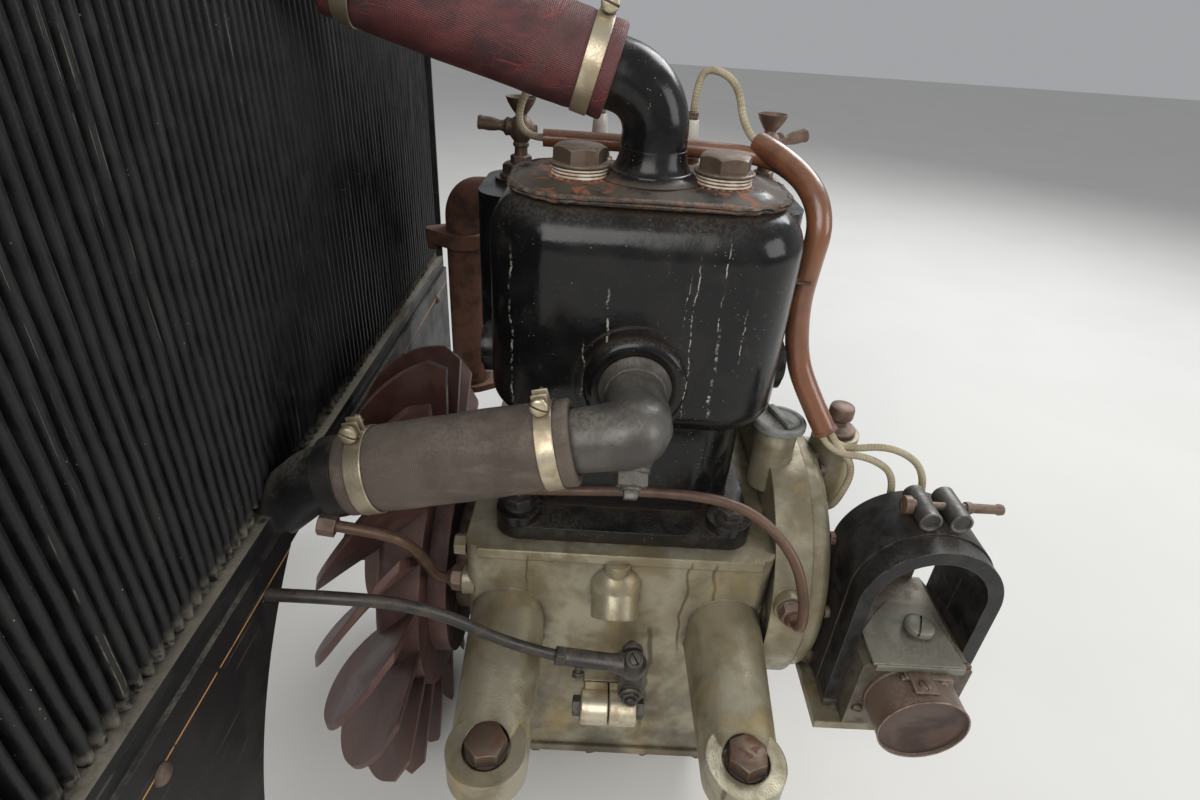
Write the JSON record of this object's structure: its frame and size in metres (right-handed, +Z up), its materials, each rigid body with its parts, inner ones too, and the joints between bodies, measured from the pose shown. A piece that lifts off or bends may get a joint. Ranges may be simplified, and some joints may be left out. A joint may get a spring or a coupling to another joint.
{
  "type": "twin-cylinder car engine with dash radiator",
  "caption": "Upright pair-cast petrol engine of an early motor car with a flywheel fan, front magneto, water hoses and the tall radiator standing behind it.",
  "frame": {"origin": "centre of the four arm bolts, on the plane where the engine's arms rest on the frame, with the crankshaft's axis on the same plane", "axes": "+X forward along the crankshaft to the starting dog, +Y to the car's left, +Z up; the radiator stands at -X"},
  "size_m": [0.5876, 0.69, 0.741],
  "materials": {
    "black_enamel": "glossy old enamel, dusty, with dried pale drips",
    "case_aluminium": "cast, oil stained",
    "sump_aluminium": "cast, oil stained",
    "old_steel": "dull, greasy",
    "fan_maroon": "flat maroon paint, worn",
    "dull_bronze": "dull bronze, dusty",
    "cap_brown": "brown bronze",
    "white_gasket": "white fibre ring",
    "old_hose": "rubbed canvas hose",
    "red_hose": "cracked dark red rubber",
    "clamp_brass": "pale brass",
    "conduit_brown": "varnished fibre tube",
    "lead_khaki": "khaki braid",
    "copper_pipe": "dark copper",
    "magnet_black": "chipped black paint",
    "magneto_grey": "dark cast body",
    "breaker_copper": "copper brown",
    "plate_green": "grey-green paint",
    "radiator_black": "black paint under beige dust",
    "core_black": "flat black",
    "rusty_iron": "rusty",
    "spring_steel": "oiled steel",
    "porcelain": "glazed porcelain and steel"
  },
  "bodies": {
    "engine": {"crankcase": "case_aluminium", "sump": "sump_aluminium", "timing_case": "case_aluminium", "timing_cover": "case_aluminium", "filler_cap": "dull_bronze", "greaser": "clamp_brass", "cylinder_block": "black_enamel", "block_nuts": "old_steel", "core_plugs": "black_enamel", "jacket_cover": "black_enamel", "plug_gaskets": "white_gasket", "jacket_plugs": "dull_bronze", "water_outlet": "black_enamel", "water_inlet": "black_enamel", "drain_plug": "dull_bronze", "upper_hose": "red_hose", "lower_hose": "old_hose", "upper_clamp_front": "clamp_brass", "upper_clamp_rear": "clamp_brass", "lower_clamp_front": "clamp_brass", "lower_clamp_rear": "clamp_brass", "bottom_tank": "radiator_black", "top_tank": "radiator_black", "radiator_cap": "clamp_brass", "radiator_core": "core_black", "radiator_side_near": "radiator_black", "radiator_side_far": "radiator_black", "apron": "radiator_black", "valve_caps": "cap_brown", "priming_cup_rear": "dull_bronze", "priming_cup_front": "dull_bronze", "spark_plugs": "porcelain", "valve_springs": "spring_steel", "exhaust_manifold": "rusty_iron", "exhaust_pipe": "rusty_iron", "inlet_pipe": "cap_brown", "carburettor": "dull_bronze", "magnets": "magnet_black", "magnet_strap": "clamp_brass", "magneto_body": "magneto_grey", "breaker_cap": "breaker_copper", "magneto_plate": "plate_green", "magneto_bracket": "case_aluminium", "magneto_drive": "magneto_grey", "ignition_conduit": "conduit_brown", "ignition_leads": "lead_khaki", "oil_pipe_front": "copper_pipe", "oil_pipe_rear": "copper_pipe", "control_rod": "old_steel", "governor_lever": "old_steel", "split_bearing": "old_steel", "arm_bolts": "old_steel"},
    "rotor": {"crankshaft": "old_steel", "flywheel_fan": "fan_maroon"}
  },
  "joints": [
    {"name": "crank_spin", "type": "hinge", "parent": "engine", "child": "rotor", "pos_m": [0, 0, 0], "axis": [1, 0, 0], "continuous": true}
  ]
}
